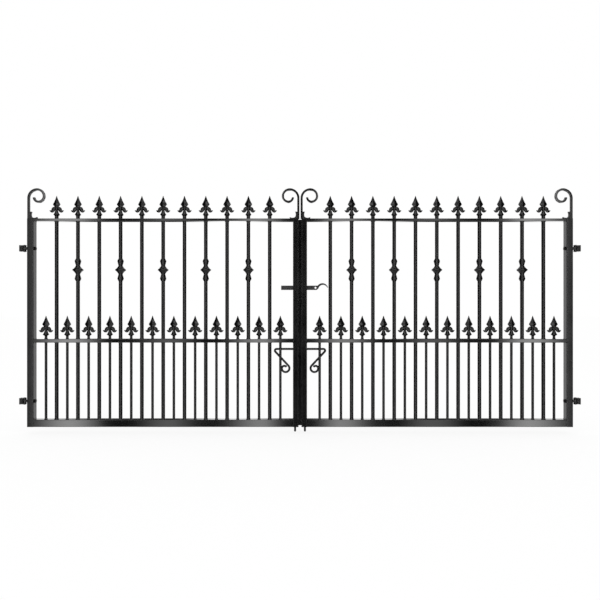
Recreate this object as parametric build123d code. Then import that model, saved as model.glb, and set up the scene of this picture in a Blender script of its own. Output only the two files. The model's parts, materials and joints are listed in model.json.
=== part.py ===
from build123d import *
import os

os.makedirs("parts", exist_ok=True)

# Opening and leaves. X runs along the gate, Y from the road to the back, Z up.
# The origin is on the welded face of the lower left hinge bracket.
opening_width = 3050.0
leaf_height = 1130.0
hinge_gap = 46.0
meeting_gap = 16.0
upper_hinge_drop = 161.0

# Heights above the underside of a leaf
lower_hinge_height = 138.0
mid_rail_centre = 467.0
latch_height = 756.0
bolt_handle_height = 419.0
low_guide_height = 32.0

# Frame tubes and rails
frame_depth = 40.0
stile_width = 35.0
meeting_stile_width = 30.0
tube_wall = 2.5
tube_corner = 3.0
cap_thickness = 3.0
bottom_rail_height = 40.0
mid_rail_height = 20.0
mid_rail_wall = 2.0
mid_rail_corner = 2.5
top_rail_thickness = 14.0
top_rail_corner = 1.5

# Bars, with the short ones midway between the tall ones
tall_bar_diameter = 20.0
short_bar_diameter = 14.0
tall_bar_count = 11
hinge_edge_gap = 60.0
meeting_edge_gap = 69.0
bar_rise = 10.0
hole_clearance = 0.25

# Cast spear heads
spear_height = 116.0
spear_half_width = 36.5
spear_blade_half_width = 19.5
spear_blade_half_depth = 7.5
spear_knob_radius = 16.0
spear_neck_radius = 5.5
leaf_curl_depth = 10.0
spear_tip_radius = 1.2

# Turned collars on every second tall bar: a bead, a disc and a bead
collar_centre = 852.0
collar_disc_radius = 28.0
collar_disc_half_height = 21.0
collar_disc_rim = 6.0
collar_bead_radius = 16.0
collar_bead_widest = 48.0
collar_bead_rim = 4.0
collar_bead_inner = 25.0
collar_bead_outer = 61.0
collar_lip = 1.0

# Crook scrolls on the stiles and their flared feet
scroll_bar = 12.0
scroll_radius = 47.0
scroll_straight = 113.5
scroll_overhang = 5.0
foot_length = 41.0
foot_height = 39.0
foot_depth = 14.0

# Hinges: a welded bracket with two lugs, a pin, and an eye bolt through the stile
bracket_height = 34.5
bracket_width = 24.0
bracket_plate = 8.0
hinge_axis_offset = 25.0
lug_radius = 9.5
lug_thickness = 6.0
lug_edge_radius = 4.5
pin_diameter = 11.0
pin_head_diameter = 15.0
pin_head_height = 2.5
pin_clearance = 0.25
eye_end_clearance = 0.5
eye_gap = 1.5
eye_edge_radius = 2.0
eye_shoulder_radius = 9.0
eye_seat_radius = 7.5
shank_diameter = 12.0
nut_across_flats = 19.0
nut_thickness = 6.0
shank_end = 2.0

# Drop bolts of round bar with a curled handle, in sleeves behind the meeting stiles
bolt_diameter = 12.0
bolt_inset = 19.0
bolt_standoff = 6.0
bolt_tip_drop = 35.0
bolt_tip_diameter = 11.5
bolt_tip_length = 30.0
bolt_tip_bevel = 2.0
handle_reach = 111.0
handle_top_bend = 14.0
handle_corner_bend = 9.0
handle_return_turn = 133.0
handle_slope_length = 105.0
curl_large_radius = 21.0
curl_small_radius = 14.0
curl_large_turn = 215.0
curl_small_turn = 150.0
guide_height = 25.0
guide_wall = 3.0
guide_clearance = 0.5
guide_web_width = 12.0
seat_clearance = 0.3

# Thumb latch behind the meeting stiles
lever_height = 24.0
lever_thickness = 6.0
lever_reach = 131.0
lever_back = 70.5
lever_corner = 5.0
lever_clearance = 5.0
thumb_reach = 57.0
thumb_rise = 13.0
pivot_inset = 19.0
pivot_diameter = 12.0
pivot_flange_diameter = 16.0
pivot_head_height = 5.0
padlock_hole_diameter = 10.5
padlock_hole_back = 58.5
catch_width = 20.0
catch_plate = 5.0
catch_plate_height = 48.0
catch_prong_rise = 19.0

# Meeting strip on the right leaf, which covers the gap between the leaves
strip_thickness = 5.0
strip_lap = 4.0
strip_seat = 8.0
strip_clearance = 5.0

cut_overrun = 5.0

# Outlines of the spear head, as shares of its height and of its half widths
knob_start_share = 0.05
knob_widest_share = 0.115
knob_end_share = 0.20
neck_start_share = 0.29
neck_end_share = 0.40
waist_share = 0.485
waist_width_share = 0.50
blade_widest_share = 0.605
leaf_root_shares = (0.08, 0.490)
leaf_shoulder_shares = (0.46, 0.474)
leaf_side_shares = (0.70, 0.400)
leaf_hollow_shares = (0.80, 0.325)
leaf_tip_shares = (1.00, 0.334)
leaf_under_shares = (0.88, 0.266)
leaf_low_shares = (0.66, 0.236)
leaf_inner_shares = (0.41, 0.290)
leaf_back_shares = (0.14, 0.390)
leaf_belly_share = 0.45
leaf_thin_share = 0.30

# A scroll tightens quarter by quarter, each quarter's radius a share of the first
scroll_quarter_shares = (1.0, 0.79, 0.64, 0.52)

# Outline of a scroll foot, as shares of its length and height
foot_tip_share = 0.26
foot_run_shares = (0.60, 0.15)
foot_corner_shares = (0.27, 0.27)
foot_leg_shares = (0.20, 0.62)
foot_top_share = 0.29

# Thumb piece of the latch, as shares of its reach and of its rise
thumb_crown_share = 0.55
thumb_tip_width_share = 0.06
thumb_inner_crown_share = 0.30
thumb_inner_start_share = 0.07
thumb_inner_drop_share = 0.35

# Curves of the collars, as shares of their flare
bead_swell_width_share = 0.38
bead_swell_height_share = 0.55
disc_hollow_share = 0.24

# Places worked out from the sizes above
leaf_base = -lower_hinge_height
leaf_top = leaf_base + leaf_height
half_depth = frame_depth / 2
leaf_width = (opening_width - meeting_gap) / 2 - hinge_gap
leaf_left = hinge_gap
leaf_right = hinge_gap + leaf_width
clear_left = leaf_left + stile_width
clear_right = leaf_right - meeting_stile_width
clear_width = clear_right - clear_left
gate_middle = opening_width / 2
bar_pitch = (clear_width - hinge_edge_gap - meeting_edge_gap) / tall_bar_count
first_bar = clear_left + hinge_edge_gap
short_bar_places = [first_bar + i * bar_pitch for i in range(tall_bar_count + 1)]
tall_bar_places = [place + bar_pitch / 2 for place in short_bar_places[:-1]]
collar_places = tall_bar_places[1::2]
bottom_rail_top = leaf_base + bottom_rail_height
mid_rail_z = leaf_base + mid_rail_centre
mid_rail_top = mid_rail_z + mid_rail_height / 2
hinge_heights = [leaf_base + lower_hinge_height, leaf_top - upper_hinge_drop]
bolt_x = leaf_right - bolt_inset
bolt_y = half_depth + bolt_standoff + bolt_diameter / 2
handle_z = leaf_base + bolt_handle_height
lever_z = leaf_base + latch_height
pivot_x = gate_middle + meeting_gap / 2 + pivot_inset
lever_front = half_depth + strip_clearance + strip_thickness + lever_clearance
lever_rear = lever_front + lever_thickness
low_end = (Align.CENTER, Align.CENTER, Align.MIN)
across_gate = Plane(origin=(gate_middle, 0, 0), z_dir=(1, 0, 0))


def save(name, solids):
    export_step(Compound(children=solids) if len(solids) > 1 else solids[0], f"parts/{name}.step")


def mirrored(solids):
    return [mirror(solid, about=across_gate).solid() for solid in solids]


def rod_along_x(x, y, z, radius, length):
    return Pos(x, y, z) * Rot(0, 90, 0) * Cylinder(radius, length, align=low_end)


# Stiles: rounded box tubes, drilled for the hinge bolts where they carry them
def stile(x, width, hinged):
    section = RectangleRounded(width, frame_depth, tube_corner)
    section -= Rectangle(width - 2 * tube_wall, frame_depth - 2 * tube_wall)
    tube = Pos(x + width / 2, 0, leaf_base) * extrude(section, leaf_height)
    if hinged:
        reach = width + 2 * cut_overrun
        hole = shank_diameter / 2 + hole_clearance
        for height in hinge_heights:
            tube -= rod_along_x(x - cut_overrun, 0, height, hole, reach)
    return tube.solid()


def stile_caps(x, width):
    plate = Box(width - 2 * tube_wall, frame_depth - 2 * tube_wall, cap_thickness, align=low_end)
    middle = x + width / 2
    return [Pos(middle, 0, leaf_base) * plate, Pos(middle, 0, leaf_top - cap_thickness) * plate]


# Rails between the stiles, with holes where the bars go through
def bar_holes(places, diameter, base, height):
    cutter = Cylinder(diameter / 2 + hole_clearance, height + 2 * cut_overrun, align=low_end)
    return [Pos(place, 0, base - cut_overrun) * cutter for place in places]


def rail_tube(height, wall, corner, middle):
    section = RectangleRounded(frame_depth, height, corner)
    section -= Rectangle(frame_depth - 2 * wall, height - 2 * wall)
    return Pos(clear_left, 0, middle) * extrude(Plane.YZ * section, clear_width)


def bottom_rail():
    return rail_tube(bottom_rail_height, tube_wall, tube_corner, leaf_base + bottom_rail_height / 2).solid()


def mid_rail():
    rail = rail_tube(mid_rail_height, mid_rail_wall, mid_rail_corner, mid_rail_z)
    base = mid_rail_z - mid_rail_height / 2
    rail -= bar_holes(tall_bar_places, tall_bar_diameter, base, mid_rail_height)
    rail -= bar_holes(short_bar_places, short_bar_diameter, base, mid_rail_height)
    return rail.solid()


def top_rail():
    base = leaf_top - top_rail_thickness
    section = RectangleRounded(frame_depth, top_rail_thickness, top_rail_corner)
    rail = Pos(clear_left, 0, base + top_rail_thickness / 2) * extrude(Plane.YZ * section, clear_width)
    rail -= bar_holes(tall_bar_places, tall_bar_diameter, base, top_rail_thickness)
    return rail.solid()


def bars(places, diameter, top):
    bar = Cylinder(diameter / 2, top - bottom_rail_top, align=low_end)
    return [Pos(place, 0, bottom_rail_top) * bar for place in places]


# Spear head: a turned knob and neck, a four-sided blade and two curled leaves
def spear_stem(bar_radius):
    outline = Polyline(
        (0, 0),
        (bar_radius, 0),
        (bar_radius, knob_start_share * spear_height),
        (spear_knob_radius, knob_widest_share * spear_height),
        (bar_radius, knob_end_share * spear_height),
        (spear_neck_radius, neck_start_share * spear_height),
        (spear_neck_radius, neck_end_share * spear_height),
        (spear_blade_half_depth, waist_share * spear_height),
        (0, waist_share * spear_height),
        close=True,
    )
    return revolve(Plane.XZ * make_face(outline), Axis.Z)


def blade_section(height, half_width, half_depth_here):
    outline = Polyline(
        (half_width, 0), (0, half_depth_here), (-half_width, 0), (0, -half_depth_here), close=True
    )
    return Pos(0, 0, height) * make_face(outline)


def spear_blade():
    waist_width = spear_blade_half_width * waist_width_share
    root = blade_section(neck_end_share * spear_height, spear_neck_radius, spear_neck_radius)
    waist = blade_section(waist_share * spear_height, waist_width, spear_blade_half_depth)
    widest = blade_section(blade_widest_share * spear_height, spear_blade_half_width, spear_blade_half_depth)
    tip = blade_section(spear_height, spear_tip_radius, spear_tip_radius)
    sections = [root, waist, widest, tip]
    lengths = [loft([low, high], ruled=True) for low, high in zip(sections, sections[1:])]
    return Part() + lengths


def leaf_point(shares):
    return shares[0] * spear_half_width, shares[1] * spear_height


def spear_leaf():
    root = leaf_point(leaf_root_shares)
    side = leaf_point(leaf_side_shares)
    tip = leaf_point(leaf_tip_shares)
    low = leaf_point(leaf_low_shares)
    back = leaf_point(leaf_back_shares)
    outline = [
        ThreePointArc(root, leaf_point(leaf_shoulder_shares), side),
        ThreePointArc(side, leaf_point(leaf_hollow_shares), tip),
        ThreePointArc(tip, leaf_point(leaf_under_shares), low),
        ThreePointArc(low, leaf_point(leaf_inner_shares), back),
        Line(back, root),
    ]
    curl = extrude(Plane.XZ * make_face(Curve() + outline), leaf_curl_depth / 2, both=True)
    return curl & leaf_taper()


# Seen from above, a leaf thins towards its tip
def leaf_taper():
    belly = leaf_curl_depth / 2
    thin = belly * leaf_thin_share
    reach = leaf_belly_share * spear_half_width
    plan = Polyline(
        (0, -belly), (reach, -belly), (spear_half_width, -thin),
        (spear_half_width, thin), (reach, belly), (0, belly), close=True
    )
    return extrude(make_face(plan), spear_height)


def spear_head(bar_diameter):
    curl = spear_leaf()
    head = spear_stem(bar_diameter / 2) + spear_blade() + curl + mirror(curl, about=Plane.YZ)
    return head.solid()


def spears(places, bar_diameter, base):
    head = spear_head(bar_diameter)
    return [Pos(place, 0, base) * head for place in places]


# Collar rings, turned to slide over the bar
def turned_ring(outer_edges, bore):
    first = outer_edges[0] @ 0
    last = outer_edges[-1] @ 1
    inner = Polyline((last.X, last.Y), (bore, last.Y), (bore, first.Y), (first.X, first.Y))
    return revolve(Plane.XZ * make_face(Curve() + outer_edges + [inner]), Axis.Z)


def collar_disc(bore):
    lip = bore + collar_lip
    rim = collar_disc_rim / 2
    hollow_x = lip + disc_hollow_share * (collar_disc_radius - lip)
    hollow_z = (collar_disc_half_height + rim) / 2
    low_rim = (collar_disc_radius, -rim)
    high_rim = (collar_disc_radius, rim)
    flare_down = ThreePointArc((lip, -collar_disc_half_height), (hollow_x, -hollow_z), low_rim)
    edge = ThreePointArc(low_rim, (collar_disc_radius + rim / 2, 0), high_rim)
    flare_up = ThreePointArc(high_rim, (hollow_x, hollow_z), (lip, collar_disc_half_height))
    return turned_ring([flare_down, edge, flare_up], bore)


def collar_bead(bore):
    lip = bore + collar_lip
    rim = collar_bead_rim / 2
    low_rim = (collar_bead_radius, collar_bead_widest - rim)
    high_rim = (collar_bead_radius, collar_bead_widest + rim)
    swell_x = lip + bead_swell_width_share * (collar_bead_radius - lip)
    swell_z = collar_bead_inner + bead_swell_height_share * (collar_bead_widest - rim - collar_bead_inner)
    below = ThreePointArc((lip, collar_bead_inner), (swell_x, swell_z), low_rim)
    edge = Line(low_rim, high_rim)
    above = Line(high_rim, (lip, collar_bead_outer))
    return turned_ring([below, edge, above], bore)


def collars():
    bore = tall_bar_diameter / 2 + hole_clearance
    bead = collar_bead(bore)
    rings = [bead, collar_disc(bore), mirror(bead, about=Plane.XY)]
    height = leaf_base + collar_centre
    return [Pos(place, 0, height) * ring.solid() for place in collar_places for ring in rings]


# Crook scroll of square bar, drawn for a stem on the left that curls to the right
def scroll():
    lines = [Line((0, 0), (0, scroll_straight))]
    for share in scroll_quarter_shares:
        lines.append(JernArc(lines[-1] @ 1, lines[-1] % 1, share * scroll_radius, -90))
    path = Plane.XZ * (Curve() + lines)
    return sweep(Rectangle(scroll_bar, scroll_bar), path=path).solid()


def scroll_foot():
    corner = (foot_corner_shares[0] * foot_length, foot_corner_shares[1] * foot_height)
    tip = (foot_length, foot_tip_share * foot_height)
    top = (foot_top_share * foot_length, foot_height)
    run = ThreePointArc(tip, (foot_run_shares[0] * foot_length, foot_run_shares[1] * foot_height), corner)
    leg = ThreePointArc(corner, (foot_leg_shares[0] * foot_length, foot_leg_shares[1] * foot_height), top)
    rest = Polyline(top, (0, foot_height), (0, 0), (foot_length, 0), tip)
    return extrude(Plane.XZ * make_face(Curve() + [run, leg, rest]), foot_depth / 2, both=True).solid()


def on_both_stiles(piece, inset):
    middle = Plane(origin=((leaf_left + leaf_right) / 2, 0, 0), z_dir=(1, 0, 0))
    near_hinge = Pos(leaf_left + inset, 0, leaf_top) * piece
    return [near_hinge, mirror(near_hinge, about=middle).solid()]


# Hinges, drawn for the left leaf at one height
def hinge_bracket(height):
    plate = Box(bracket_plate, bracket_width, bracket_height, align=(Align.MIN, Align.CENTER, Align.CENTER))
    tongue = Pos(hinge_axis_offset / 2, 0) * Rectangle(hinge_axis_offset, 2 * lug_radius)
    tongue += Pos(hinge_axis_offset, 0) * Circle(lug_radius)
    lug = extrude(tongue, lug_thickness)
    outer_edges = lug.faces().sort_by(Axis.Z)[-1].outer_wire().edges().sort_by(Axis.X)[1:]
    lug = fillet(outer_edges, lug_edge_radius)
    lug -= Pos(hinge_axis_offset, 0) * Cylinder(pin_diameter / 2 + pin_clearance, lug_thickness, align=low_end)
    top_lug = Pos(0, 0, bracket_height / 2 - lug_thickness) * lug
    low_lug = mirror(top_lug, about=Plane.XY)
    web_reach = hinge_axis_offset - lug_radius - eye_gap
    web = Box(web_reach, 2 * lug_radius, bracket_height, align=(Align.MIN, Align.CENTER, Align.CENTER))
    return (Pos(0, 0, height) * (plate + web + top_lug + low_lug)).solid()


def hinge_pin(height):
    head = Cone(pin_head_diameter / 2, pin_diameter / 2, pin_head_height, align=low_end)
    pin = Cylinder(pin_diameter / 2, bracket_height)
    pin += Pos(0, 0, bracket_height / 2) * head
    pin += Pos(0, 0, -bracket_height / 2) * Rot(180, 0, 0) * head
    return (Pos(hinge_axis_offset, 0, height) * pin).solid()


def hinge_eye(height):
    eye_height = bracket_height - 2 * lug_thickness - 2 * eye_end_clearance
    neck = leaf_left - hinge_axis_offset
    reach = neck + stile_width + nut_thickness + shank_end
    barrel = Cylinder(lug_radius, eye_height)
    eye = fillet(barrel.edges().filter_by(GeomType.CIRCLE), eye_edge_radius)
    eye += Rot(0, 90, 0) * Cone(eye_shoulder_radius, eye_seat_radius, neck, align=low_end)
    eye += rod_along_x(0, 0, 0, shank_diameter / 2, reach)
    eye -= Cylinder(pin_diameter / 2 + pin_clearance, bracket_height)
    return (Pos(hinge_axis_offset, 0, height) * eye).solid()


def hinge_nut(height):
    hexagon = RegularPolygon(nut_across_flats / 2, 6, major_radius=False)
    hexagon -= Circle(shank_diameter / 2 + hole_clearance)
    return (Pos(clear_left, 0, height) * extrude(Plane.YZ * hexagon, nut_thickness)).solid()


# Drop bolt of one bent bar with a turned tip, drawn with its rod on the Z axis
def drop_bolt():
    tip = leaf_base - bolt_tip_drop
    rod_foot = tip + bolt_tip_length
    rod = Line((0, rod_foot), (0, handle_z - handle_top_bend))
    top_bend = JernArc(rod @ 1, rod % 1, handle_top_bend, 90)
    top_end = top_bend @ 1
    arm = Line(top_end, (handle_corner_bend - handle_reach, top_end.Y))
    corner = JernArc(arm @ 1, arm % 1, handle_corner_bend, handle_return_turn)
    slope = Line(corner @ 1, corner @ 1 + (corner % 1) * handle_slope_length)
    curl = JernArc(slope @ 1, slope % 1, curl_large_radius, -curl_large_turn)
    end_curl = JernArc(curl @ 1, curl % 1, curl_small_radius, -curl_small_turn)
    path = Plane.XZ * (Curve() + [rod, top_bend, arm, corner, slope, curl, end_curl])
    bar = sweep(Pos(0, 0, rod_foot) * Circle(bolt_diameter / 2), path=path)
    bar += Pos(0, 0, tip) * Cylinder(bolt_tip_diameter / 2, bolt_tip_length, align=low_end)
    bar = chamfer(bar.faces().sort_by(Axis.Z)[0].edges(), bolt_tip_bevel)
    return (Pos(bolt_x, bolt_y, 0) * bar).solid()


def bolt_guide(base):
    bore = bolt_diameter / 2 + guide_clearance
    section = Circle(bore + guide_wall)
    section += Pos(0, (half_depth - bolt_y) / 2) * Rectangle(guide_web_width, bolt_y - half_depth)
    section -= Circle(bore)
    return (Pos(bolt_x, bolt_y, base) * extrude(section, guide_height)).solid()


def bolt_guides():
    high_base = handle_z - handle_top_bend - seat_clearance - guide_height
    return [bolt_guide(leaf_base + low_guide_height), bolt_guide(high_base)]


# Latch lever, its pivot on the right stile and its catch on the left stile
def thumb_piece():
    half = lever_height / 2
    end = lever_back
    crown = (end + thumb_crown_share * thumb_reach, half + thumb_rise)
    tip_width = thumb_tip_width_share * thumb_reach
    inner_tip = (end + thumb_reach - tip_width, 0)
    inner_crown = (crown[0], half + thumb_inner_crown_share * thumb_rise)
    inner_start = (end + thumb_inner_start_share * thumb_reach, -thumb_inner_drop_share * half)
    outer = ThreePointArc((end, half), crown, (end + thumb_reach, 0))
    blunt = Line((end + thumb_reach, 0), inner_tip)
    inner = ThreePointArc(inner_tip, inner_crown, inner_start)
    root = Polyline(inner_start, (end - lever_corner, -half), (end - lever_corner, half), (end, half))
    return make_face(Curve() + [outer, blunt, inner, root])


def latch_lever():
    length = lever_reach + lever_back
    outline = Pos((lever_back - lever_reach) / 2, 0) * Rectangle(length, lever_height)
    outline = chamfer(outline.vertices().group_by(Axis.X)[-1].sort_by(Axis.Y)[0], lever_corner)
    outline += thumb_piece()
    outline -= Circle(pivot_diameter / 2 + pin_clearance)
    outline -= Pos(padlock_hole_back, 0) * Circle(padlock_hole_diameter / 2)
    plate = extrude(Plane.XZ * outline, -lever_thickness)
    return (Pos(pivot_x, lever_front, lever_z) * plate).solid()


def latch_pivot():
    seat = lever_front - seat_clearance
    head = lever_rear + seat_clearance
    outline = Polyline(
        (0, half_depth),
        (pivot_flange_diameter / 2, half_depth),
        (pivot_flange_diameter / 2, seat),
        (pivot_diameter / 2, seat),
        (pivot_diameter / 2, head),
        (pivot_flange_diameter / 2, head),
        (pivot_diameter / 2, head + pivot_head_height),
        (0, head + pivot_head_height),
        close=True,
    )
    return (Pos(pivot_x, 0, lever_z) * revolve(make_face(outline), Axis.Y)).solid()


def latch_catch():
    seat = lever_z - lever_height / 2 - seat_clearance
    prong = lever_rear + lever_clearance
    outline = Polyline(
        (half_depth, seat),
        (prong, seat),
        (prong, seat + catch_prong_rise),
        (prong + catch_plate, seat + catch_prong_rise),
        (prong + catch_plate, seat - catch_plate),
        (half_depth + catch_plate, seat - catch_plate),
        (half_depth + catch_plate, seat - catch_plate_height),
        (half_depth, seat - catch_plate_height),
        close=True,
    )
    right_edge = gate_middle - meeting_gap / 2 - strip_lap - strip_clearance
    hook = extrude(Plane.YZ * make_face(outline), -catch_width)
    return (Pos(right_edge, 0, 0) * hook).solid()


# Meeting strip and the packer that holds it off the right stile
def strip_bar(left, right, front, thickness):
    bar = Box(right - left, thickness, leaf_height, align=(Align.MIN, Align.MIN, Align.MIN))
    return Pos(left, front, leaf_base) * bar


def meeting_strip():
    edge = gate_middle + meeting_gap / 2
    left = gate_middle - meeting_gap / 2 - strip_lap
    return strip_bar(left, edge + strip_seat, half_depth + strip_clearance, strip_thickness)


def strip_packer():
    edge = gate_middle + meeting_gap / 2
    return strip_bar(edge, edge + strip_seat, half_depth, strip_clearance)


# The left leaf, and its mirror image on the right
def leaf_nodes():
    tall_top = leaf_top + bar_rise
    short_top = mid_rail_top + bar_rise
    return {
        "hinge_stile": [stile(leaf_left, stile_width, True)],
        "meeting_stile": [stile(clear_right, meeting_stile_width, False)],
        "stile_caps": stile_caps(leaf_left, stile_width) + stile_caps(clear_right, meeting_stile_width),
        "bottom_rail": [bottom_rail()],
        "mid_rail": [mid_rail()],
        "top_rail": [top_rail()],
        "tall_bars": bars(tall_bar_places, tall_bar_diameter, tall_top),
        "short_bars": bars(short_bar_places, short_bar_diameter, short_top),
        "tall_spears": spears(tall_bar_places, tall_bar_diameter, tall_top),
        "short_spears": spears(short_bar_places, short_bar_diameter, short_top),
        "collars": collars(),
        "scrolls": on_both_stiles(scroll(), scroll_bar / 2 - scroll_overhang),
        "scroll_feet": on_both_stiles(scroll_foot(), scroll_bar - scroll_overhang),
        "hinge_eyes": [hinge_eye(height) for height in hinge_heights],
        "hinge_nuts": [hinge_nut(height) for height in hinge_heights],
        "bolt_guides": bolt_guides(),
        "drop_bolt": [drop_bolt()],
        "lower_bracket": [hinge_bracket(hinge_heights[0])],
        "upper_bracket": [hinge_bracket(hinge_heights[1])],
        "hinge_pins": [hinge_pin(height) for height in hinge_heights],
    }


for name, solids in leaf_nodes().items():
    save(f"left_{name}", solids)
    save(f"right_{name}", mirrored(solids))

save("latch_lever", [latch_lever()])
save("latch_pivot", [latch_pivot()])
save("latch_catch", [latch_catch()])
save("meeting_strip", [meeting_strip()])
save("strip_packer", [strip_packer()])
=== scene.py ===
import bpy
import json
from math import atan2, cos, pi, radians, sin
from mathutils import Matrix, Vector


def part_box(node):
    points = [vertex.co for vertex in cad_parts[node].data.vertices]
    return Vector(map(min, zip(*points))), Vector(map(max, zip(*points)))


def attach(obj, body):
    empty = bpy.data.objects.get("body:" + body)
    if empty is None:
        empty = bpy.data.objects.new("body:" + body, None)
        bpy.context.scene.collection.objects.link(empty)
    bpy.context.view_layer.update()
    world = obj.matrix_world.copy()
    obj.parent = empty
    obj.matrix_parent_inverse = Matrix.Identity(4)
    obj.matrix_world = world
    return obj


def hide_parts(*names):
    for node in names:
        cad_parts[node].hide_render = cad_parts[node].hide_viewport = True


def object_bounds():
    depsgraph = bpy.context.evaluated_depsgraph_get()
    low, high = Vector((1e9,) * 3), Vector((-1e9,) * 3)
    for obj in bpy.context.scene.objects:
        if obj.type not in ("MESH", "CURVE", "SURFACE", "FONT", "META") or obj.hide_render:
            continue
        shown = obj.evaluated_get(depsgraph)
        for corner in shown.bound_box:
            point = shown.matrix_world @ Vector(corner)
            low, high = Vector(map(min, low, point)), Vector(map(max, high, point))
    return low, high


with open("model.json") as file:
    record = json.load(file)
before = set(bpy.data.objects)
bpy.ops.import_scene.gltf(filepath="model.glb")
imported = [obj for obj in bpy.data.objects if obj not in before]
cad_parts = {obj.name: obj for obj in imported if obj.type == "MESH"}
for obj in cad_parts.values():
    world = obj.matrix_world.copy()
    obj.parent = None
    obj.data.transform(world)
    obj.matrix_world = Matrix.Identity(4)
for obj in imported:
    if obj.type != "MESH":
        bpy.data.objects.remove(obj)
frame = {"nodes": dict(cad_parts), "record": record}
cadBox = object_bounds()
nodes = frame["nodes"]
mm = 0.001
print("frame loaded:", len(nodes), "nodes")

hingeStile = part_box("left_hinge_stile")
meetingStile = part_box("left_meeting_stile")
gateMiddle = (meetingStile[1].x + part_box("right_meeting_stile")[0].x) / 2
leafMiddle = (hingeStile[0].x + meetingStile[1].x) / 2
leafBase, leafTop = hingeStile[0].z, hingeStile[1].z
backFace = hingeStile[1].y
sides = ("left", "right")


# Small tools for modelling by hand

def letGo():  # object mode, nothing selected
    if bpy.context.mode != "OBJECT":
        bpy.ops.object.mode_set(mode="OBJECT")
    bpy.ops.object.select_all(action="DESELECT")


def pickUp(piece):
    letGo()
    piece.select_set(True)
    bpy.context.view_layer.objects.active = piece


def editAll():
    bpy.ops.object.mode_set(mode="EDIT")
    bpy.ops.mesh.select_all(action="SELECT")


def closeUp(piece, gap=0.01 * mm):  # merge, cap the open ends, faces outwards
    bpy.ops.mesh.select_all(action="SELECT")
    bpy.ops.mesh.remove_doubles(threshold=gap)
    bpy.ops.mesh.fill_holes(sides=0)
    bpy.ops.mesh.select_all(action="SELECT")
    bpy.ops.mesh.normals_make_consistent(inside=False)
    letGo()
    return piece


def openRing(corners, radius, at=(0, 0, 0), tip=0.0):  # a ring of edges, tip leans it towards +X
    letGo()
    bpy.ops.mesh.primitive_circle_add(vertices=corners, radius=radius, location=at, rotation=(0, tip, 0))
    bpy.ops.object.transform_apply(location=True, rotation=True, scale=True)
    editAll()
    return bpy.context.object


def pushRing(step):
    bpy.ops.mesh.extrude_region_move(TRANSFORM_OT_translate={"value": step})


def raiseRings(profile, at=(0, 0)):  # carries the selected ring up through (radius, height) rows
    for (oldRadius, oldHeight), (radius, height) in zip(profile, profile[1:]):
        pushRing((0, 0, height - oldHeight))
        grow = radius / oldRadius
        bpy.ops.transform.resize(value=(grow, grow, 1), center_override=(at[0], at[1], height))


def turned(corners, rows):  # rows of (radius, height) in millimetres about the Z axis
    profile = [(r * mm, z * mm) for r, z in rows]
    piece = openRing(corners, profile[0][0], (0, 0, profile[0][1]))
    raiseRings(profile)
    return closeUp(piece)


def forwardOf(way):
    return Vector((cos(way), 0, sin(way)))


straightUp = 90  # heading in degrees from +X, seen from the front
bending = {"fewestSteps": 3, "degreesPerStep": 7,
           "endRings": ((0.6, 0.88), (0.4, 0.66))}  # share of the end, shrink


def alongPath(start, heading, runs):  # carries the selected ring through straights and bends
    place = Vector(start)
    way = radians(heading)
    for kind, size, *turn in runs:
        forward = forwardOf(way)
        if kind == "go":
            pushRing(forward * size)
            place += forward * size
            continue
        angle = radians(turn[0])
        left = Vector((-forward.z, 0, forward.x))
        centre = place + left * (size if angle > 0 else -size)
        steps = max(bending["fewestSteps"], round(abs(turn[0]) / bending["degreesPerStep"]))
        bpy.ops.mesh.spin(steps=steps, angle=angle, center=centre, axis=(0, 1, 0))
        place = centre + Matrix.Rotation(-angle, 3, "Y") @ (place - centre)
        way += angle
    return place, way


def roundEnd(place, way, reach):  # two shrinking rings finish a bar end
    for share, shrink in bending["endRings"]:
        place = place + forwardOf(way) * reach * share
        pushRing(forwardOf(way) * reach * share)
        bpy.ops.transform.resize(value=(shrink, shrink, shrink), center_override=place)


def tapered(corners, spine, depth):  # horn along a spine of (x, z, radius), depth stretches it in Y
    points = [Vector((x, 0, z)) for x, z, radius in spine]
    chords = [b - a for a, b in zip(points, points[1:])]
    ways = [atan2(c.z, c.x) for c in chords]
    leans = [ways[0]] + [(a + b) / 2 for a, b in zip(ways, ways[1:])] + [ways[-1]]
    piece = openRing(corners, spine[0][2], points[0], pi / 2 - leans[0])
    bpy.ops.transform.resize(value=(1, depth, 1), center_override=points[0])
    for i, chord in enumerate(chords, 1):
        pushRing(chord)
        bpy.ops.transform.rotate(value=leans[i] - leans[i - 1], orient_axis="Y", center_override=points[i])
        grow = spine[i][2] / spine[i - 1][2]
        bpy.ops.transform.resize(value=(grow, grow, grow), center_override=points[i])
    return closeUp(piece)


def useModifier(piece, kind, **settings):
    pickUp(piece)
    modifier = piece.modifiers.new(kind.lower(), kind)
    for key, value in settings.items():
        setattr(modifier, key, value)
    bpy.ops.object.modifier_apply(modifier=modifier.name)
    return piece


def rounded(piece, width, segments=2, angle=35, clamp=True):
    return useModifier(piece, "BEVEL", width=width, segments=segments, limit_method="ANGLE",
                       angle_limit=radians(angle), use_clamp_overlap=clamp)


def smoothed(piece, levels):
    return useModifier(piece, "SUBSURF", levels=levels, render_levels=levels)


def cutOrFuse(piece, operation, *others):
    for other in others:
        useModifier(piece, "BOOLEAN", operation=operation, solver="EXACT", object=other)
        bpy.data.objects.remove(other)
    return piece


def moved(piece, matrix):
    piece.data.transform(matrix)
    return piece


def putAt(piece, x=0.0, y=0.0, z=0.0):
    return moved(piece, Matrix.Translation((x, y, z)))


def laidAlongX(piece):
    return moved(piece, Matrix.Rotation(pi / 2, 4, "Y"))


def laidAlongY(piece):
    return moved(piece, Matrix.Rotation(-pi / 2, 4, "X"))


def shifted(piece, x=0.0, y=0.0, z=0.0):  # a copy with its own mesh
    twin = bpy.data.objects.new(piece.name, piece.data.copy())
    bpy.context.collection.objects.link(twin)
    return putAt(twin, x, y, z)


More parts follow.
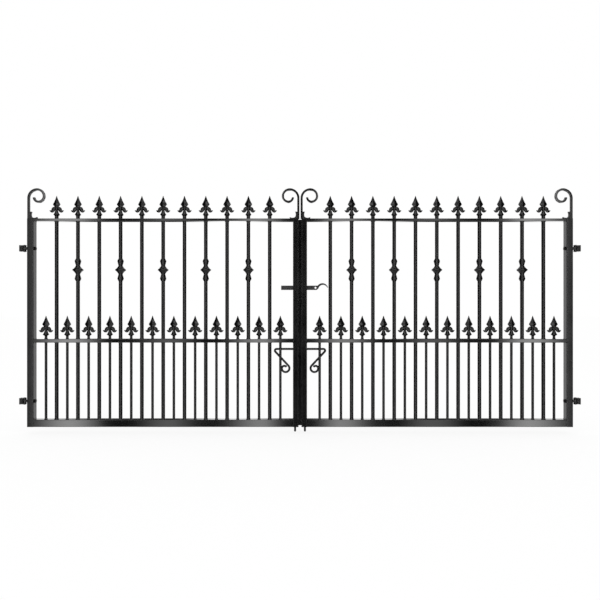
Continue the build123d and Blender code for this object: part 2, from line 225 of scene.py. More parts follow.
def mirrored(piece, middle):
    twin = shifted(piece)
    moved(twin, Matrix.Translation((2 * middle, 0, 0)) @ Matrix.Scale(-1, 4, (1, 0, 0)))
    twin.data.flip_normals()
    return twin


def upsideDown(piece):
    twin = shifted(piece)
    moved(twin, Matrix.Scale(-1, 4, (0, 0, 1)))
    twin.data.flip_normals()
    return twin


def joined(pieces):
    pickUp(pieces[0])
    for piece in pieces[1:]:
        piece.select_set(True)
    bpy.ops.object.join()
    return pieces[0]


def copiesAt(piece, places):  # one mesh of copies at (x, y, z) places, the model itself is used up
    copies = [shifted(piece, *place) for place in places]
    bpy.data.objects.remove(piece)
    return joined(copies)


cleaning = {"merge": 0.001 * mm, "flatAngle": radians(0.5)}  # joins up the triangles of a CAD node


def softCopy(node, width, segments=2):  # a CAD node with its hard edges eased
    piece = bpy.data.objects.new(node, nodes[node].data.copy())
    bpy.context.collection.objects.link(piece)
    pickUp(piece)
    editAll()
    bpy.ops.mesh.remove_doubles(threshold=cleaning["merge"])
    bpy.ops.mesh.dissolve_limited(angle_limit=cleaning["flatAngle"])
    letGo()
    return rounded(piece, width, segments, clamp=False)


def settle(piece, name, body, slot, replaced=(), crease=40):
    piece.name = name
    piece.data.name = name
    piece.data.materials.clear()
    piece.data.materials.append(finishes[slot])
    pickUp(piece)
    bpy.ops.object.shade_smooth_by_angle(angle=radians(crease))
    useModifier(piece, "WEIGHTED_NORMAL", keep_sharp=True)  # eased edges leave the flats flat
    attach(piece, body)
    if replaced:
        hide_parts(*replaced)
    return piece


leafBodies = ("left_leaf", "right_leaf")


def settlePair(piece, name, slot, node=None, bodies=leafBodies, crease=40):  # left and mirrored right
    twin = mirrored(piece, gateMiddle)
    for side, hand, body in zip(sides, (piece, twin), bodies):
        settle(hand, side + name, body, slot, [f"{side}_{node}"] if node else (), crease)


def barRow(node, count):  # centres of a row of bars, their radius and top
    low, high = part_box(node)
    radius = (high.y - low.y) / 2
    pitch = (high.x - low.x - 2 * radius) / (count - 1)
    return [low.x + radius + i * pitch for i in range(count)], radius, high.z


def middleOf(node):
    low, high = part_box(node)
    return (low + high) / 2


# Camera, set to the photograph's view of the closed gate, in metres
cameraView = {"distance": 3.0, "metresPerPixel": 5.45 * mm, "horizonPixel": 305.0,
              "photoWidth": 600, "sensor": 36.0, "height": 0.523}


def placeCamera(view):
    letGo()
    place = (gateMiddle, -view["distance"], view["height"])
    bpy.ops.object.camera_add(location=place, rotation=(pi / 2, 0, 0))
    camera = bpy.context.object
    camera.data.sensor_width = view["sensor"]
    camera.data.lens = view["distance"] / view["metresPerPixel"] * view["sensor"] / view["photoWidth"]
    camera.data.shift_y = view["horizonPixel"] / view["photoWidth"] - 0.5  # from the middle of the picture
    camera.data.dof.use_dof = False
    bpy.context.scene.camera = camera


placeCamera(cameraView)
bpy.context.scene.view_settings.view_transform = "Standard"
print("camera placed")


# Node helpers for the materials and the world
def addNode(tree, kind, **values):
    node = tree.nodes.new(kind)
    for key, value in values.items():
        if key in node.inputs:
            node.inputs[key].default_value = value
        else:
            setattr(node, key, value)
    return node


def freshTree(holder):
    holder.use_nodes = True
    holder.node_tree.nodes.clear()
    return holder.node_tree


# Studio, in metres: white world, pale floor, a lamp overhead, and a dark drum with soft strips for the gloss
plainWhite = (1, 1, 1, 1)
studio = {"worldLight": 1.0, "seenLight": 1.0, "floorDrop": 2 * mm, "floorSize": 60.0, "floorShade": 0.15,
          "floorColour": (0.95, 0.95, 0.95, 1), "lampForward": 1.0, "lampHeight": 5.0, "lampSize": (5.0, 2.0),
          "lampRadiance": 0.8}
drum = {"radius": 6.6, "low": -8.0, "high": 12.0, "sides": 96, "brightest": 8.0, "dark": 0.04,
        "strips": [(2.2, 5.9, 11.8, 5.6), (14.5, 19.4, 24.8, 2.3), (27.8, 32.6, 38.2, 6.8),
                   (136, 144, 151, 1.6), (161, 170, 179, 2.2)]}  # start, middle and end in degrees, radiance


def rayIsSeen(tree):  # camera, glossy and transmission rays see plain white
    path = addNode(tree, "ShaderNodeLightPath")
    first = addNode(tree, "ShaderNodeMath", operation="MAXIMUM")
    both = addNode(tree, "ShaderNodeMath", operation="MAXIMUM")
    tree.links.new(path.outputs["Is Camera Ray"], first.inputs[0])
    tree.links.new(path.outputs["Is Glossy Ray"], first.inputs[1])
    tree.links.new(first.outputs[0], both.inputs[0])
    tree.links.new(path.outputs["Is Transmission Ray"], both.inputs[1])
    return both.outputs[0]


def whiteWorld():
    world = bpy.data.worlds.new("studioWorld")
    bpy.context.scene.world = world
    tree = freshTree(world)
    light = addNode(tree, "ShaderNodeBackground", Color=plainWhite, Strength=studio["worldLight"])
    seen = addNode(tree, "ShaderNodeBackground", Color=plainWhite, Strength=studio["seenLight"])
    mix = addNode(tree, "ShaderNodeMixShader")
    out = addNode(tree, "ShaderNodeOutputWorld")
    tree.links.new(rayIsSeen(tree), mix.inputs[0])
    tree.links.new(light.outputs[0], mix.inputs[1])
    tree.links.new(seen.outputs[0], mix.inputs[2])
    tree.links.new(mix.outputs[0], out.inputs[0])


def paleFloor():  # white where it is seen, with a share of plain shading that keeps the shadow
    letGo()
    place = (gateMiddle, 0, cadBox[0][2] - studio["floorDrop"])
    bpy.ops.mesh.primitive_plane_add(size=studio["floorSize"], location=place)
    floor = bpy.context.object
    floor.name = "studioFloor"
    bpy.ops.object.transform_apply(location=True)
    material = bpy.data.materials.new("paleFloor")
    tree = freshTree(material)
    shade = addNode(tree, "ShaderNodeBsdfDiffuse", Color=studio["floorColour"])
    white = addNode(tree, "ShaderNodeEmission", Color=plainWhite, Strength=studio["seenLight"])
    share = addNode(tree, "ShaderNodeMath", operation="MULTIPLY")
    share.inputs[1].default_value = 1 - studio["floorShade"]
    mix = addNode(tree, "ShaderNodeMixShader")
    out = addNode(tree, "ShaderNodeOutputMaterial")
    tree.links.new(rayIsSeen(tree), share.inputs[0])
    tree.links.new(share.outputs[0], mix.inputs[0])
    tree.links.new(shade.outputs[0], mix.inputs[1])
    tree.links.new(white.outputs[0], mix.inputs[2])
    tree.links.new(mix.outputs[0], out.inputs[0])
    floor.data.materials.append(material)
    floor.visible_glossy = False


def darkDrum(shape):  # seen only in the paint, its glow follows the angle round from the camera's side
    letGo()
    bpy.ops.mesh.primitive_cylinder_add(vertices=shape["sides"], radius=shape["radius"],
                                        depth=shape["high"] - shape["low"], end_fill_type="NOTHING",
                                        location=(gateMiddle, 0, (shape["high"] + shape["low"]) / 2))
    wall = bpy.context.object
    wall.name = "darkDrum"
    bpy.ops.object.transform_apply(location=True)
    material = bpy.data.materials.new("drumCloth")
    tree = freshTree(material)
    place = addNode(tree, "ShaderNodeTexCoord")
    centred = addNode(tree, "ShaderNodeVectorMath", operation="SUBTRACT")
    centred.inputs[1].default_value = (gateMiddle, 0, 0)
    parts = addNode(tree, "ShaderNodeSeparateXYZ")
    across = addNode(tree, "ShaderNodeMath", operation="ABSOLUTE")
    ahead = addNode(tree, "ShaderNodeMath", operation="MULTIPLY")
    ahead.inputs[1].default_value = -1.0
    angle = addNode(tree, "ShaderNodeMath", operation="ARCTAN2")
    turn = addNode(tree, "ShaderNodeMath", operation="DIVIDE")
    turn.inputs[1].default_value = pi
    ramp = addNode(tree, "ShaderNodeValToRGB")
    ramp.color_ramp.interpolation = "EASE"
    stops = ramp.color_ramp.elements
    stops.remove(stops[1])
    stops[0].color = (shape["dark"] / shape["brightest"],) * 3 + (1,)
    for begin, middle, finish, radiance in shape["strips"]:
        for degrees, level in ((begin, shape["dark"]), (middle, radiance), (finish, shape["dark"])):
            stops.new(degrees / 180).color = (level / shape["brightest"],) * 3 + (1,)
    glow = addNode(tree, "ShaderNodeEmission", Strength=shape["brightest"])
    out = addNode(tree, "ShaderNodeOutputMaterial")
    tree.links.new(place.outputs["Object"], centred.inputs[0])
    tree.links.new(centred.outputs[0], parts.inputs[0])
    tree.links.new(parts.outputs["X"], across.inputs[0])
    tree.links.new(parts.outputs["Y"], ahead.inputs[0])
    tree.links.new(across.outputs[0], angle.inputs[0])
    tree.links.new(ahead.outputs[0], angle.inputs[1])
    tree.links.new(angle.outputs[0], turn.inputs[0])
    tree.links.new(turn.outputs[0], ramp.inputs[0])
    tree.links.new(ramp.outputs[0], glow.inputs[0])
    tree.links.new(glow.outputs[0], out.inputs[0])
    wall.data.materials.append(material)
    wall.visible_camera = False
    wall.visible_diffuse = False
    wall.visible_shadow = False


def hangLamp():
    letGo()
    bpy.ops.object.light_add(type="AREA", location=(gateMiddle, -studio["lampForward"], studio["lampHeight"]))
    lamp = bpy.context.object.data
    lamp.shape = "RECTANGLE"
    lamp.size, lamp.size_y = studio["lampSize"]
    lamp.energy = studio["lampRadiance"] * pi * lamp.size * lamp.size_y


whiteWorld()
paleFloor()
darkDrum(drum)
hangLamp()
print("studio lit")


# Paint: near-black, with faint orange peel and patches of softer gloss
grain = {"peelDetail": 2.0, "peelRoughness": 0.5, "peelDepth": 0.3 * mm,
         "patchDetail": 5.0, "patchRoughness": 0.6, "patchSpan": (0.3, 0.7),
         "speckTimes": 7, "speckDetail": 3.0, "speckRoughness": 0.6, "blueTint": 1.04, "ior": 1.5}
paints = {
    "black_paint": {"dark": 0.0015, "pale": 0.004, "gloss": (0.07, 0.12), "shine": 0.5, "peelScale": 420.0,
                    "peelStrength": 0.01, "patchScale": 5.0},
    "bar_paint": {"dark": 0.0015, "pale": 0.004, "gloss": (0.15, 0.18), "shine": 0.28, "peelScale": 420.0,
                  "peelStrength": 0.004, "patchScale": 5.0},
    "black_casting": {"dark": 0.0015, "pale": 0.004, "gloss": (0.16, 0.26), "shine": 0.3, "peelScale": 520.0,
                      "peelStrength": 0.06, "patchScale": 26.0},
    "black_fitting": {"dark": 0.002, "pale": 0.005, "gloss": (0.18, 0.3), "shine": 0.3, "peelScale": 640.0,
                      "peelStrength": 0.06, "patchScale": 34.0},
}


def mixPaint(name, look):
    material = bpy.data.materials.new(name)
    tree = freshTree(material)
    place = addNode(tree, "ShaderNodeTexCoord")
    peel = addNode(tree, "ShaderNodeTexNoise", Scale=look["peelScale"], Detail=grain["peelDetail"],
                   Roughness=grain["peelRoughness"])
    patch = addNode(tree, "ShaderNodeTexNoise", Scale=look["patchScale"], Detail=grain["patchDetail"],
                    Roughness=grain["patchRoughness"])
    speck = addNode(tree, "ShaderNodeTexNoise", Scale=look["patchScale"] * grain["speckTimes"],
                    Detail=grain["speckDetail"], Roughness=grain["speckRoughness"])
    for noise in (peel, patch, speck):
        tree.links.new(place.outputs["Object"], noise.inputs["Vector"])
    bump = addNode(tree, "ShaderNodeBump", Strength=look["peelStrength"], Distance=grain["peelDepth"])
    tree.links.new(peel.outputs["Fac"], bump.inputs["Height"])
    gloss = addNode(tree, "ShaderNodeMapRange")
    gloss.inputs["From Min"].default_value, gloss.inputs["From Max"].default_value = grain["patchSpan"]
    gloss.inputs["To Min"].default_value, gloss.inputs["To Max"].default_value = look["gloss"]
    tree.links.new(patch.outputs["Fac"], gloss.inputs["Value"])
    tone = addNode(tree, "ShaderNodeMix", data_type="RGBA")  # its colours are inputs 6 and 7 and output 2
    tone.inputs[6].default_value = (look["dark"], look["dark"], look["dark"], 1)
    tone.inputs[7].default_value = (look["pale"], look["pale"], look["pale"] * grain["blueTint"], 1)
    tree.links.new(speck.outputs["Fac"], tone.inputs[0])
    skin = addNode(tree, "ShaderNodeBsdfPrincipled", IOR=grain["ior"])
    skin.inputs["Specular IOR Level"].default_value = look["shine"]
    tree.links.new(tone.outputs[2], skin.inputs["Base Color"])
    tree.links.new(gloss.outputs["Result"], skin.inputs["Roughness"])
    tree.links.new(bump.outputs["Normal"], skin.inputs["Normal"])
    out = addNode(tree, "ShaderNodeOutputMaterial")
    tree.links.new(skin.outputs["BSDF"], out.inputs["Surface"])
    return material


finishes = {slot: mixPaint(slot, look) for slot, look in paints.items()}
slotOf = {part["node"]: part["material_slot"] for part in frame["record"]["subparts"]}
for nodeName, node in nodes.items():
    for holder in node.material_slots:
        holder.material = finishes["bar_paint" if nodeName.endswith("_bars") else slotOf[nodeName]]
print("paint mixed:", ", ".join(finishes))


# Spear heads: turned stem and knob, four-sided blade, two curled leaves, their rows in millimetres
spearHead = {
    "foot": [(0.0, 0.0), (0.0, 5.2), (0.8, 6.4)],  # out from the bar, height
    "stem": [(15.4, 11.6), (16.4, 13.3), (15.6, 15.2), (12.4, 19.6), (10.4, 24.5), (8.8, 29.5), (7.4, 35.0),
             (6.5, 41.0), (6.5, 53.0), (5.0, 60.0)],  # radius, height
    "blade": [(44.0, 4.6, 4.6), (50.0, 7.6, 6.0), (56.0, 11.6, 7.3), (62.0, 16.4, 7.8), (66.6, 20.2, 7.6),
              (69.4, 21.0, 7.5), (73.0, 19.6, 7.4), (80.0, 15.4, 6.8), (90.0, 10.6, 5.5), (100.0, 6.6, 3.9),
              (109.0, 3.4, 2.3), (116.0, 1.0, 0.9)],  # height, half width, half depth
    "leaf": [(3.0, 46.5, 9.4), (10.0, 47.6, 11.2), (15.6, 45.0, 12.2), (18.8, 40.0, 11.2), (21.2, 34.4, 10.4),
             (24.6, 31.3, 9.2), (29.6, 31.4, 7.0), (34.2, 33.6, 3.9), (38.8, 37.0, 1.1)],  # x, z, radius
    "leafDepth": 0.72, "leafSides": 10, "leafLevels": 2, "bladeSides": 4, "edge": 0.7 * mm, "edgeSegments": 2,
    "edgeAngle": 30, "sides": 24, "sliver": 0.03 * mm,
}


def spearBlade(shape):
    height, width, depth = shape["blade"][0]
    blade = openRing(shape["bladeSides"], mm, (0, 0, height * mm))
    bpy.ops.transform.resize(value=(width, depth, 1), center_override=(0, 0, height * mm))
    for oldRow, row in zip(shape["blade"], shape["blade"][1:]):
        pushRing((0, 0, (row[0] - oldRow[0]) * mm))
        bpy.ops.transform.resize(value=(row[1] / oldRow[1], row[2] / oldRow[2], 1),
                                 center_override=(0, 0, row[0] * mm))
    return rounded(closeUp(blade), shape["edge"], shape["edgeSegments"], shape["edgeAngle"])


def spearModel(shape, barRadius):
    foot = [(barRadius / mm + out, z) for out, z in shape["foot"]]
    stem = turned(shape["sides"], foot + shape["stem"])
    spine = [(x * mm, z * mm, r * mm) for x, z, r in shape["leaf"]]
    leaf = tapered(shape["leafSides"], spine, shape["leafDepth"])
    smoothed(leaf, shape["leafLevels"])
    spear = cutOrFuse(stem, "UNION", spearBlade(shape), mirrored(leaf, 0.0), leaf)
    pickUp(spear)
    editAll()
    bpy.ops.mesh.dissolve_degenerate(threshold=shape["sliver"])  # slivers along the joins
    bpy.ops.mesh.quads_convert_to_tris(quad_method="BEAUTY", ngon_method="BEAUTY")
    bpy.ops.mesh.dissolve_degenerate(threshold=shape["sliver"])  # those that the triangles brought
    return closeUp(spear, shape["sliver"])


barCounts = {"tall": 11, "short": 12}
tallPlaces, tallRadius, tallTop = barRow("left_tall_bars", barCounts["tall"])
shortPlaces, shortRadius, shortTop = barRow("left_short_bars", barCounts["short"])
spearRows = (("tall", tallPlaces, tallRadius, tallTop), ("short", shortPlaces, shortRadius, shortTop))
for kind, places, radius, top in spearRows:
    row = copiesAt(spearModel(spearHead, radius), [(x, 0, top) for x in places])
    settlePair(row, f"{kind.title()}Spears", "black_casting", f"{kind}_spears", crease=34)
print("spear heads cast")


# Collars on every second tall bar: a bead, a disc and a bead, in millimetres
collarShape = {"bore": 10.25, "lip": 11.25, "sides": 40, "steps": 8,
               "discRadius": 28.0, "discHalf": 24.5, "discRim": 2.5, "discPower": 1.6, "rimOut": 1.2,
               "beadRadius": 16.8, "beadInner": 25.0, "beadWidest": 48.0, "beadOuter": 61.0,
               "beadPower": 0.95, "beadRim": 2.0, "beadCrown": 0.3, "beadShoulder": (1.4, 2.4)}


def flare(shape, radius, power, lowHeight, highHeight):  # widens from the lip out to radius
    lip, rise = shape["lip"], highHeight - lowHeight
    shares = [i / shape["steps"] for i in range(shape["steps"] + 1)]
    return [(lip + (radius - lip) * s ** power, lowHeight + rise * s) for s in shares]


def ringOf(corners, bore, outline):  # closes the outline round the bore and turns it
    start, end = (bore, outline[0][1]), (bore, outline[-1][1])
    return turned(corners, [start] + outline + [end, start])


def collarModel(shape):
    upper = flare(shape, shape["discRadius"], shape["discPower"], shape["discHalf"], shape["discRim"])
    lower = [(r, -z) for r, z in upper]
    rim = [(shape["discRadius"] + shape["rimOut"], 0.0)]
    low = shape["beadWidest"] - shape["beadRim"]
    high = shape["beadWidest"] + shape["beadRim"]
    bead, (inset, rise) = shape["beadRadius"], shape["beadShoulder"]
    tulip = flare(shape, bead, shape["beadPower"], shape["beadInner"], low)
    tulip += [(bead + shape["beadCrown"], shape["beadWidest"]), (bead, high)]
    tulip += [(bead - inset, high + rise), (shape["lip"], shape["beadOuter"])]
    outlines = (lower + rim + upper[::-1], tulip, [(r, -z) for r, z in tulip[::-1]])
    return joined([ringOf(shape["sides"], shape["bore"], outline) for outline in outlines])


collarHeight = middleOf("left_collars").z
collars = copiesAt(collarModel(collarShape), [(x, 0, collarHeight) for x in tallPlaces[1::2]])
settlePair(collars, "Collars", "black_casting", "collars", crease=32)
print("collars turned")


# Crook scrolls of square bar, tightening quarter by quarter, and their cast feet
crook = {"bar": 12 * mm, "edge": 1.3 * mm, "edgeSegments": 3, "straight": 113.5 * mm,
         "radii": (47.0, 37.1, 30.1, 24.4), "quarter": 90.0, "lastTurn": 86.0, "endRound": 1.6 * mm,
         "footEdge": 1.0 * mm, "footSegments": 3}


def squareRing(side, edge, segments, at):  # bar section with eased corners, ready to push
    letGo()
    bpy.ops.mesh.primitive_plane_add(size=side, location=at)
    bpy.ops.object.transform_apply(location=True)
    editAll()
    bpy.ops.mesh.bevel(offset=edge, affect="VERTICES", segments=segments)
    bpy.ops.mesh.select_all(action="SELECT")
    bpy.ops.mesh.delete(type="ONLY_FACE")
    bpy.ops.mesh.select_all(action="SELECT")
    return bpy.context.object


def crookModel(shape):
    start = (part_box("left_scrolls")[0].x + shape["bar"] / 2, 0, leafTop)
    piece = squareRing(shape["bar"], shape["edge"], shape["edgeSegments"], start)
    turns = [shape["quarter"]] * (len(shape["radii"]) - 1) + [shape["lastTurn"]]
    runs = [("go", shape["straight"])] + [("bend", r * mm, -turn) for r, turn in zip(shape["radii"], turns)]
    place, way = alongPath(start, straightUp, runs)
    roundEnd(place, way, shape["endRound"])
    closeUp(piece)
    return joined([piece, mirrored(piece, leafMiddle)])


settlePair(crookModel(crook), "Scrolls", "black_paint", "scrolls", crease=35)
scrollFeet = softCopy("left_scroll_feet", crook["footEdge"], crook["footSegments"])
settlePair(scrollFeet, "ScrollFeet", "black_casting", "scroll_feet")
print("scrolls bent")


# Hinges, in millimetres: welded brackets, domed pins, forged eyes, thin nuts on washers inside the leaf
hinge = {
    "axis": 25.0, "sides": 32, "hair": 0.01, "blockSegments": 3,
    "plate": ((0.01, -12.0, -17.25), (8.0, 12.0, 17.25)), "plateEdge": 1.2,  # two corners of each block
    "web": ((0.5, -9.3, -14.0), (14.0, 9.3, 14.0)), "webEdge": 0.6,
    "lugRadius": 9.5, "lugHalf": 2.9, "lugEdge": 1.9, "lugLevel": 14.2, "lugRoot": 1.0, "lugSides": 40,
    "lugRoll": (0, pi / 6, pi / 3, pi / 2), "pinHole": 5.75, "lugBore": 9.0, "eyeBore": 12.0,
    "pin": [(2.0, -19.75), (5.0, -19.4), (6.9, -18.5), (7.5, -17.1), (5.5, -17.0), (5.5, 17.0), (7.5, 17.1),
            (6.9, 18.5), (5.0, 19.4), (2.0, 19.75)],
    "barrel": [(7.4, -10.75), (8.7, -10.4), (9.3, -9.7), (9.5, -8.7), (9.5, 8.7), (9.3, 9.7), (8.7, 10.4),
               (7.4, 10.75)],
    "neck": [(9.0, 0.0), (8.2, 9.5), (7.6, 14.0), (6.9, 17.5), (7.5, 19.2), (7.5, 21.0), (6.0, 21.05),
             (6.0, 63.0), (5.1, 64.0)],
    "nutSides": 6, "nutCorner": 10.97, "nut": (1.4, 6.0), "nutBore": 6.15, "boreSpare": 1,
    "chamfer": (1.6, 0.2, 1.0), "chamferSides": 48,
    "washer": (9.6, 1.3), "washerEdge": 0.3, "washerSides": 40,
}


def blockOf(low, high, edge, segments):  # a block of metal between two corners, its edges eased
    letGo()
    bpy.ops.mesh.primitive_cube_add(size=1)
    piece = bpy.context.object
    low, high = Vector(low) * mm, Vector(high) * mm
    editAll()
    bpy.ops.transform.resize(value=high - low)
    bpy.ops.transform.translate(value=(low + high) / 2)
    letGo()
    return rounded(piece, edge * mm, segments)


def holePlug(shape, half):  # what the pin's hole takes out
    return turned(shape["sides"], [(shape["pinHole"], -half), (shape["pinHole"], half)])


def lugModel(shape):  # a round-ended tongue with rolled edges and the pin's bore
    radius, half, edge = shape["lugRadius"] * mm, shape["lugHalf"] * mm, shape["lugEdge"] * mm
    axis, root = shape["axis"] * mm, shape["lugRoot"] * mm
    lug = openRing(shape["lugSides"], radius, (axis, 0, -half))
    letGo()
    for vertex in lug.data.vertices:
        vertex.select = vertex.co.x < axis - shape["hair"] * mm
    for line in lug.data.edges:
        line.select = False
    bpy.ops.object.mode_set(mode="EDIT")
    bpy.ops.transform.resize(value=(0, 1, 1), center_override=(axis, 0, 0))
    bpy.ops.transform.translate(value=(root - axis, 0, 0))
    bpy.ops.mesh.select_all(action="SELECT")
    length, middle = (axis + radius - root) / 2, (axis + radius + root) / 2
    rolls = [(edge * (1 - sin(a)), edge * (1 - cos(a)) - half) for a in shape["lugRoll"]]
    rows = [(0.0, -half)] + rolls + [(inset, -z) for inset, z in rolls[::-1]]
    for (oldInset, oldZ), (inset, z) in zip(rows, rows[1:]):
        if z != oldZ:
            pushRing((0, 0, z - oldZ))
        stretch = ((length - inset) / (length - oldInset), (radius - inset) / (radius - oldInset), 1)
        bpy.ops.transform.resize(value=stretch, center_override=(middle, 0, z))
    closeUp(lug)
    return cutOrFuse(lug, "DIFFERENCE", putAt(holePlug(shape, shape["lugBore"]), axis))


def bracketModel(shape):
    lug = lugModel(shape)
    low, high = (shifted(lug, z=level * mm) for level in (-shape["lugLevel"], shape["lugLevel"]))
    bpy.data.objects.remove(lug)
    plate = blockOf(*shape["plate"], shape["plateEdge"], shape["blockSegments"])
    web = blockOf(*shape["web"], shape["webEdge"], shape["blockSegments"])
    return cutOrFuse(plate, "UNION", web, low, high)


def eyeModel(shape):
    eye = turned(shape["sides"], shape["barrel"])
    neck = laidAlongX(turned(shape["sides"], shape["neck"]))
    hole = holePlug(shape, shape["eyeBore"])
    return cutOrFuse(cutOrFuse(eye, "UNION", neck), "DIFFERENCE", hole)


def nutModel(shape):
    (low, high), corner, bore = shape["nut"], shape["nutCorner"], shape["nutBore"]
    narrow, wide, rise = shape["chamfer"]
    nut = turned(shape["nutSides"], [(corner, low), (corner, high)])
    chamfers = turned(shape["chamferSides"], [(corner - narrow, low), (corner + wide, low + rise),
                                              (corner + wide, high - rise), (corner - narrow, high)])
    cutOrFuse(nut, "INTERSECT", chamfers)
    spare = shape["boreSpare"]
    cutOrFuse(nut, "DIFFERENCE", turned(shape["sides"], [(bore, low - spare), (bore, high + spare)]))
    (radius, thickness), edge = shape["washer"], shape["washerEdge"]
    outline = [(radius - edge, 0.0), (radius, edge), (radius, thickness - edge), (radius - edge, thickness)]
    return laidAlongX(joined([nut, ringOf(shape["washerSides"], bore, outline)]))


hingeAxis = middleOf("left_hinge_pins").x
hingeHeights = [middleOf("left_lower_bracket").z, middleOf("left_upper_bracket").z]
bracketBodies = ("hinge_brackets", "hinge_brackets")  # both sides stand still
bracketPattern = bracketModel(hinge)
for level, height in zip(("lower", "upper"), hingeHeights):
    bracket = shifted(bracketPattern, z=height)
    settlePair(bracket, f"{level.title()}Bracket", "black_fitting", f"{level}_bracket", bracketBodies)
bpy.data.objects.remove(bracketPattern)
pins = copiesAt(turned(hinge["sides"], hinge["pin"]), [(hingeAxis, 0, z) for z in hingeHeights])
settlePair(pins, "HingePins", "black_fitting", "hinge_pins", bracketBodies)
eyes = copiesAt(eyeModel(hinge), [(hingeAxis, 0, z) for z in hingeHeights])
settlePair(eyes, "HingeEyes", "black_fitting", "hinge_eyes")
nuts = copiesAt(nutModel(hinge), [(hingeStile[1].x, 0, z) for z in hingeHeights])
settlePair(nuts, "HingeNuts", "black_fitting", "hinge_nuts", crease=25)
print("hinges forged")


# Drop bolts: one bent round bar each, with a turned tip, in sleeves behind the meeting stiles
bolt = {"radius": 6.0 * mm, "sides": 24,
        "tip": [(3.75, 0.0), (5.4, 1.6), (5.75, 2.6), (5.75, 29.6), (6.0, 30.2)],  # radius, height
        "topBend": 14 * mm, "topTurn": 90, "arm": 88 * mm, "corner": 9 * mm, "cornerTurn": 133.0,
        "slope": 105 * mm, "curl": 21 * mm, "curlTurn": 215.0, "endCurl": 14 * mm, "endTurn": 145.0,
        "endRound": 2.4 * mm, "guideEdge": 0.7 * mm}


def boltModel(shape):
    low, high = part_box("left_drop_bolt")
    x, y = high.x - shape["radius"], (low.y + high.y) / 2
    profile = [(r * mm, low.z + z * mm) for r, z in shape["tip"]]
    profile.append((shape["radius"], high.z - shape["radius"] - shape["topBend"]))
    rod = openRing(shape["sides"], profile[0][0], (x, y, low.z))
    raiseRings(profile, (x, y))
    runs = [("bend", shape["topBend"], shape["topTurn"]), ("go", shape["arm"]),
            ("bend", shape["corner"], shape["cornerTurn"]), ("go", shape["slope"]),
            ("bend", shape["curl"], -shape["curlTurn"]), ("bend", shape["endCurl"], -shape["endTurn"])]
    place, way = alongPath((x, y, profile[-1][1]), straightUp, runs)
    roundEnd(place, way, shape["endRound"])
    return closeUp(rod)


settlePair(boltModel(bolt), "DropBolt", "black_fitting", "drop_bolt", ("left_bolt", "right_bolt"))
settlePair(softCopy("left_bolt_guides", bolt["guideEdge"]), "BoltGuides", "black_fitting", "bolt_guides")
print("drop bolts bent")


# Thumb latch: flat lever, its pivot with a washer and a domed head, and the hook catch
latch = {
    "leverEdge": 0.9 * mm, "catchEdge": 1.0 * mm, "sides": 32,
    "pivot": [(7.0, 0.0), (8.0, 1.0), (8.0, 14.2), (7.6, 14.7), (6.0, 14.75), (6.0, 21.25), (8.0, 21.3),
              (8.0, 22.3), (6.6, 22.35), (6.6, 23.4), (6.0, 24.7), (4.6, 25.7), (2.0, 26.3)],
    "rivet": [(5.0, -1.0), (5.0, 0.0), (4.6, 1.0), (3.4, 1.9), (1.4, 2.3)], "rivetSides": 20,
    "catchRivets": (0.25, 0.75), "catchPlate": 40 * mm, "catchBack": 5 * mm,
}


def rivetModel(shape):  # a domed head that points to the back
    return laidAlongY(turned(shape["rivetSides"], shape["rivet"]))


settle(softCopy("latch_lever", latch["leverEdge"]), "latchLever", "latch", "black_fitting", ["latch_lever"])
pivotMiddle = middleOf("latch_pivot")
pivot = putAt(laidAlongY(turned(latch["sides"], latch["pivot"])), pivotMiddle.x, backFace, pivotMiddle.z)
settle(pivot, "latchPivot", "right_leaf", "black_fitting", ["latch_pivot"])
catchLow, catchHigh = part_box("latch_catch")
catchMiddle = (catchLow.x + catchHigh.x) / 2
catchRivets = [(catchMiddle, backFace + latch["catchBack"], catchLow.z + share * latch["catchPlate"])
               for share in latch["catchRivets"]]
catch = joined([softCopy("latch_catch", latch["catchEdge"]), copiesAt(rivetModel(latch), catchRivets)])
settle(catch, "latchCatch", "left_leaf", "black_fitting", ["latch_catch"])
print("latch fitted")


# Meeting strip on its packer, held by rivets that stay clear of the lever
strip = {"edge": 0.7 * mm, "rivetCount": 8, "rivetInset": 55 * mm, "rivetScale": 0.78, "leverRoom": 45 * mm}


def stripRivetPlaces(shape):
    x, y = middleOf("strip_packer").x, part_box("meeting_strip")[1].y
    step = (leafTop - leafBase - 2 * shape["rivetInset"]) / (shape["rivetCount"] - 1)
    heights = [leafBase + shape["rivetInset"] + i * step for i in range(shape["rivetCount"])]
    return [(x, y, z) for z in heights if abs(z - pivotMiddle.z) > shape["leverRoom"]]


for nodeName, pieceName in (("meeting_strip", "meetingStrip"), ("strip_packer", "stripPacker")):
    settle(softCopy(nodeName, strip["edge"]), pieceName, "right_leaf", "black_paint", [nodeName])
smallRivet = moved(rivetModel(latch), Matrix.Scale(strip["rivetScale"], 4))
settle(copiesAt(smallRivet, stripRivetPlaces(strip)), "stripRivets", "right_leaf", "black_fitting")
print("meeting strip riveted")


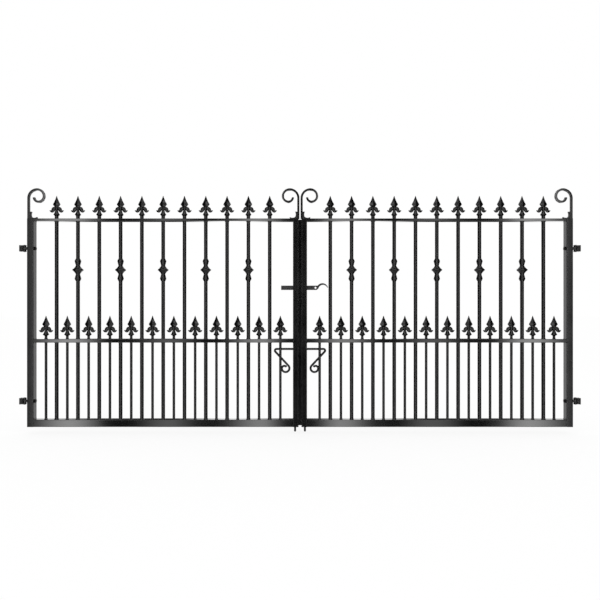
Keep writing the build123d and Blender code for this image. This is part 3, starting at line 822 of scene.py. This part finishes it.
# Welds: a small fillet round each bar at the rails, and rippled beads where rails meet stiles
weld = {"fillet": [(0.0, -0.4), (3.0, -0.4), (2.7, 0.5), (1.7, 1.5), (0.9, 2.4), (0.0, 3.2)],  # out, height
        "filletSides": 24, "bite": 0.3, "rough": 0.25 * mm, "seed": 3, "beadRadius": 2.2, "ripple": 0.5,
        "beadStep": 1.9, "beadSides": 12, "endShare": 0.45, "inset": 2 * mm}


def barWeld(shape, radius):
    outline = [(radius / mm + out, z) for out, z in shape["fillet"]]
    ring = ringOf(shape["filletSides"], radius / mm - shape["bite"], outline)
    pickUp(ring)
    editAll()
    bpy.ops.transform.vertex_random(offset=shape["rough"], seed=shape["seed"])
    letGo()
    return ring


def beadModel(shape, length):  # a rippled run of weld along Y
    count = round(length / mm / shape["beadStep"])
    rows = []
    for i in range(count + 1):
        radius = shape["beadRadius"] + (shape["ripple"] if i % 2 else 0.0)
        radius *= shape["endShare"] if i in (0, count) else 1.0
        rows.append((radius, (i / count - 0.5) * length / mm))
    return laidAlongY(turned(shape["beadSides"], rows))


railLevels = {"bottomTop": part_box("left_bottom_rail")[1].z, "midLow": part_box("left_mid_rail")[0].z,
              "midTop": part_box("left_mid_rail")[1].z, "topLow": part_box("left_top_rail")[0].z}
weldRuns = ((tallPlaces, tallRadius, ("bottomTop", "midTop"), ("midLow", "topLow")),
            (shortPlaces, shortRadius, ("bottomTop", "midTop"), ("midLow",)))
fillets = []
for places, radius, upward, downward in weldRuns:
    ring = barWeld(weld, radius)
    under = upsideDown(ring)
    fillets.append(copiesAt(ring, [(x, 0, railLevels[level]) for level in upward for x in places]))
    fillets.append(copiesAt(under, [(x, 0, railLevels[level]) for level in downward for x in places]))
fillets.append(copiesAt(barWeld(weld, tallRadius), [(x, 0, leafTop) for x in tallPlaces]))
settlePair(joined(fillets), "BarWelds", "black_paint", crease=60)
beadLength = hingeStile[1].y - hingeStile[0].y - 2 * weld["inset"]
corners = [(x, 0, z) for x in (hingeStile[1].x, meetingStile[0].x) for z in railLevels.values()]
settlePair(copiesAt(beadModel(weld, beadLength), corners), "FrameWelds", "black_paint", crease=60)
print("welds run")
